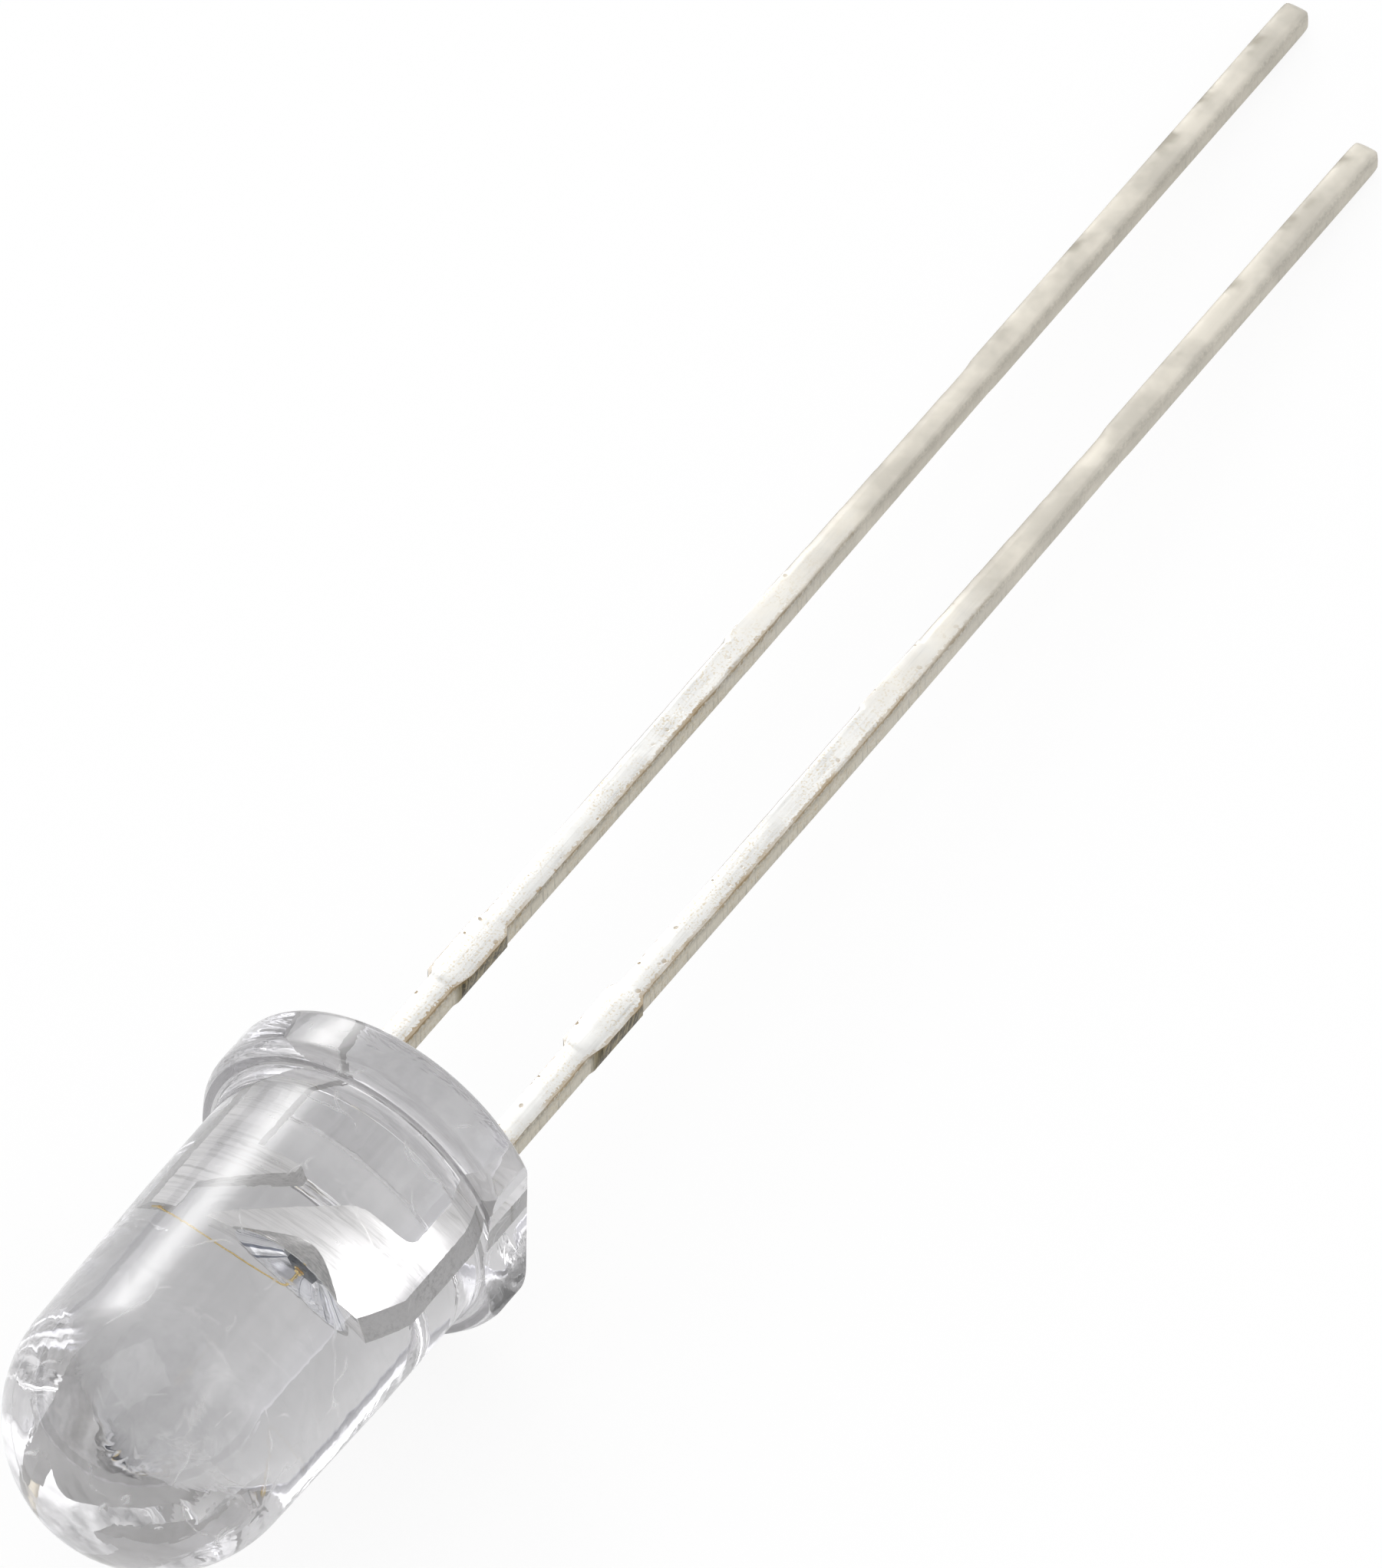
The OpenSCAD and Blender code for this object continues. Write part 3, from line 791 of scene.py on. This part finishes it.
# The camera's way from the upright LED, the slant of the leads in the picture, the size of the
# picture and the place of the flange's back in it, and how many of its pixels a mm takes there.
VIEW_WAY = Vector((0.352, 0.755, 0.553)).normalized()
LEAD_SLANT = math.radians(48.8)
PICTURE = (1801, 2044)
FLANGE_AT = (507.8, 1502.6)
PIXELS_PER_MM = 83.6
SENSOR = 36
CLIP_NEAR = 0.01
CLIP_FAR = 10
# How often light may turn inside the clear epoxy before it comes out.
LIGHT_TURNS = 32
# How far the floor is plain white to the camera, to metal and to what is seen through the epoxy.
FLOOR_HALF = 0.6
FLOOR_TO_CAMERA = 0.9
FLOOR_TO_METAL = 0.32
FLOOR_THROUGH_EPOXY = 0.2
# The room is patchy between two shares of its brightness, brighter near the horizon, with a thin
# dark gap between it and the floor, and a trace of lilac low down. Heights go from 0 to 1 overhead.
PATCH_SCALE = 4.6
PATCH_DARK = 0.4
PATCH_LIGHT = 1.5
HORIZON = 2.3
HORIZON_TOP = 0.5
GAP_BOTTOM = (0.01, 0.03)
GAP_TOP = (0.15, 0.13)
GAP_SHADE = 0.12
LILAC = (0.93, 0.93, 1.0)
LILAC_TOP = 0.4
# Soft lights of the room: the way to each from the LED as it lies, and its width in degrees. The
# halo is part of the key, and the rim glows are what the dome and the flange turn to the camera.
KEY_GLOW = ((0.60, 0.65, 0.46), 7.5)
KEY_HALO = ((0.60, 0.65, 0.46), 18)
HALO_SHARE = 1 / 6
SKY_GLOW = ((0.63, 0.30, 0.72), 30)
SIDE_GLOW = ((0.55, -0.83, 0.06), 12)
RIM_GLOWS = (((0.41, -0.67, 0.62), 14), ((-0.55, 0.80, 0.27), 13), ((-0.75, -0.32, 0.58), 6))
# The one lamp hangs over the lens: the way to it, its distance and side in m, and how bright it is.
LAMP_WAY = Vector((-0.15, 0.1, 1.0)).normalized()
LAMP_DISTANCE = 0.3
LAMP_SIDE = 0.22
LAMP_BRIGHTNESS = 0.9
LENS_MIDDLE = LIE @ Vector((0, 0, 4))


class LED_OT_stage(bpy.types.Operator):
    """Sets the camera, a pale floor, the surroundings and the lamp"""
    bl_idname = "led.stage"
    bl_label = "Stage"

    def execute(self, context):
        stage = context.scene.led_stage
        bpy.context.scene.view_settings.view_transform = "Standard"
        cycles = bpy.context.scene.cycles
        cycles.max_bounces = cycles.glossy_bounces = cycles.transmission_bounces = LIGHT_TURNS
        camera_of_the_picture(stage)
        pale_floor(stage)
        soft_room(stage)
        overhead_lamp()
        return {"FINISHED"}


def camera_of_the_picture(stage):
    """Puts the camera where the leads slant, and the flange lies, as in the picture."""
    back = (TURN @ VIEW_WAY).normalized()
    leads = TURN @ Vector((0, 0, -1))
    leads = (leads - leads.project(back)).normalized()
    beside = back.cross(leads)
    right = math.cos(LEAD_SLANT) * leads - math.sin(LEAD_SLANT) * beside
    up = math.sin(LEAD_SLANT) * leads + math.cos(LEAD_SLANT) * beside
    aim = FLANGE_BACK + right * (PICTURE[0] / 2 - FLANGE_AT[0]) / PIXELS_PER_MM * MM
    aim += up * (FLANGE_AT[1] - PICTURE[1] / 2) / PIXELS_PER_MM * MM
    data = bpy.data.cameras.new("Camera")
    data.sensor_fit = "VERTICAL"
    data.sensor_height = SENSOR
    data.sensor_width = SENSOR
    data.lens = stage.focal
    data.clip_start = CLIP_NEAR
    data.clip_end = CLIP_FAR
    camera = bpy.data.objects.new("Camera", data)
    turn = Matrix((right, up, back)).transposed().to_4x4()
    camera.matrix_world = Matrix.Translation(aim + back * stage.distance) @ turn
    bpy.context.scene.collection.objects.link(camera)
    bpy.context.scene.camera = camera


def pale_floor(stage):
    """A pale floor that keeps the LED's shadow and is nearly white to the camera."""
    material = bpy.data.materials.new("Pale Floor")
    material.use_nodes = True
    material.node_tree.nodes.clear()
    graph = Graph(material.node_tree)
    ray = graph.node("ShaderNodeLightPath").outputs
    share = graph.times(ray["Is Camera Ray"], FLOOR_TO_CAMERA)
    share = graph.math("MAXIMUM", share, graph.times(ray["Is Glossy Ray"], FLOOR_TO_METAL))
    share = graph.math("MAXIMUM", share, graph.times(ray["Is Transmission Ray"], FLOOR_THROUGH_EPOXY))
    matt = graph.node("ShaderNodeBsdfDiffuse", Color=(*stage.floor, 1))
    white = graph.node("ShaderNodeEmission", Color=(*WHITE, 1), Strength=1.0)
    mixed = mixed_shader(graph, share, matt, white)
    graph.node("ShaderNodeOutputMaterial", Surface=mixed)
    bm = bmesh.new()
    bmesh.ops.create_grid(bm, x_segments=1, y_segments=1, size=FLOOR_HALF)
    mesh = bpy.data.meshes.new("floor")
    bm.to_mesh(mesh)
    bm.free()
    mesh.materials.append(material)
    floor = bpy.data.objects.new("floor", mesh)
    bpy.context.scene.collection.objects.link(floor)


def soft_room(stage):
    """A room that is white to the camera, and softly graded and lit for everything else."""
    world = bpy.data.worlds.new("Room")
    world.use_nodes = True
    world.node_tree.nodes.clear()
    bpy.context.scene.world = world
    graph = Graph(world.node_tree)
    ray = graph.node("ShaderNodeLightPath").outputs
    way = graph.node("ShaderNodeTexCoord").outputs["Generated"]
    height = graph.split(way)["Z"]
    shade = graph.ramp(graph.noise(way, PATCH_SCALE, 3.0), 0.38, 0.62, PATCH_DARK * stage.room,
                       PATCH_LIGHT * stage.room)
    shade = graph.times(shade, graph.ramp(height, 0.0, HORIZON_TOP, HORIZON, 1.0))
    gap = graph.times(graph.ramp(height, *GAP_BOTTOM), graph.ramp(height, *GAP_TOP))
    shade = graph.times(shade, graph.between(gap, 1.0, GAP_SHADE))
    lights = [(KEY_GLOW, stage.key), (KEY_HALO, stage.key * HALO_SHARE), (SKY_GLOW, stage.sky),
              (SIDE_GLOW, stage.side)]
    for (direction, width), strength in lights + [(rim, stage.rim) for rim in RIM_GLOWS]:
        shade = graph.plus(shade, glow(graph, way, direction, width, strength))
    colour = graph.mix(graph.ramp(height, 0.0, LILAC_TOP), LILAC, WHITE)
    room = graph.node("ShaderNodeBackground", Color=colour, Strength=shade)
    white = graph.node("ShaderNodeBackground", Color=(*WHITE, 1), Strength=1.0)
    mixed = mixed_shader(graph, ray["Is Camera Ray"], room, white)
    graph.node("ShaderNodeOutputWorld", Surface=mixed)


def mixed_shader(graph, share, first, second):
    """The first shader, with a share of the second."""
    mixed = graph.node("ShaderNodeMixShader")
    graph.put(mixed, "0", share)
    graph.put(mixed, "1", first.outputs[0])
    graph.put(mixed, "2", second.outputs[0])
    return mixed.outputs[0]


def glow(graph, way, direction, width, strength):
    """A soft round light in the room, fading over its width in degrees."""
    near = graph.vector("DOT_PRODUCT", way, Vector(direction).normalized())
    near = graph.math("MAXIMUM", near, 0.0)
    return graph.times(graph.math("POWER", near, 1 / math.radians(width) ** 2), strength)


def overhead_lamp():
    """A square lamp over the lens, as bright on its face as given."""
    data = bpy.data.lights.new("Overhead Lamp", "AREA")
    data.shape = "RECTANGLE"
    data.size = data.size_y = LAMP_SIDE
    data.energy = LAMP_BRIGHTNESS * math.pi * LAMP_SIDE ** 2
    lamp = bpy.data.objects.new("Overhead Lamp", data)
    turn = LAMP_WAY.to_track_quat("Z", "Y").to_matrix().to_4x4()
    lamp.matrix_world = Matrix.Translation(LENS_MIDDLE + LAMP_WAY * LAMP_DISTANCE) @ turn
    bpy.context.scene.collection.objects.link(lamp)


# Panel and run


class LED_PT_panel(bpy.types.Panel):
    """Lists the LED's pieces and their settings"""
    bl_idname = "LED_PT_panel"
    bl_label = "Through-Hole LED"
    bl_space_type = "VIEW_3D"
    bl_region_type = "UI"
    bl_category = "LED"

    def draw(self, context):
        scene = context.scene
        for settings, names in ((scene.led_lens, ["lens"]), (scene.led_leads, ["leads"]),
                                (scene.led_inner, ["die", "wire"]), (scene.led_stage, ["stage"])):
            box = self.layout.box()
            for prop in type(settings).__annotations__:
                box.prop(settings, prop)
            for name in names:
                box.operator("led." + name)


SETTINGS = {"led_lens": LedLensSettings, "led_leads": LedLeadSettings, "led_inner": LedInnerSettings,
            "led_stage": LedStageSettings}
CLASSES = (*SETTINGS.values(), LED_OT_lens, LED_OT_leads, LED_OT_die, LED_OT_wire, LED_OT_stage,
           LED_PT_panel)


def register():
    for cls in CLASSES:
        bpy.utils.register_class(cls)
    for name, cls in SETTINGS.items():
        setattr(bpy.types.Scene, name, PointerProperty(type=cls))


def unregister():
    for name in SETTINGS:
        delattr(bpy.types.Scene, name)
    for cls in reversed(CLASSES):
        bpy.utils.unregister_class(cls)


def main():
    register()
    bpy.ops.led.lens()
    bpy.ops.led.leads()
    bpy.ops.led.die()
    bpy.ops.led.wire()
    bpy.ops.led.stage()


if __name__ == "__main__":
    main()
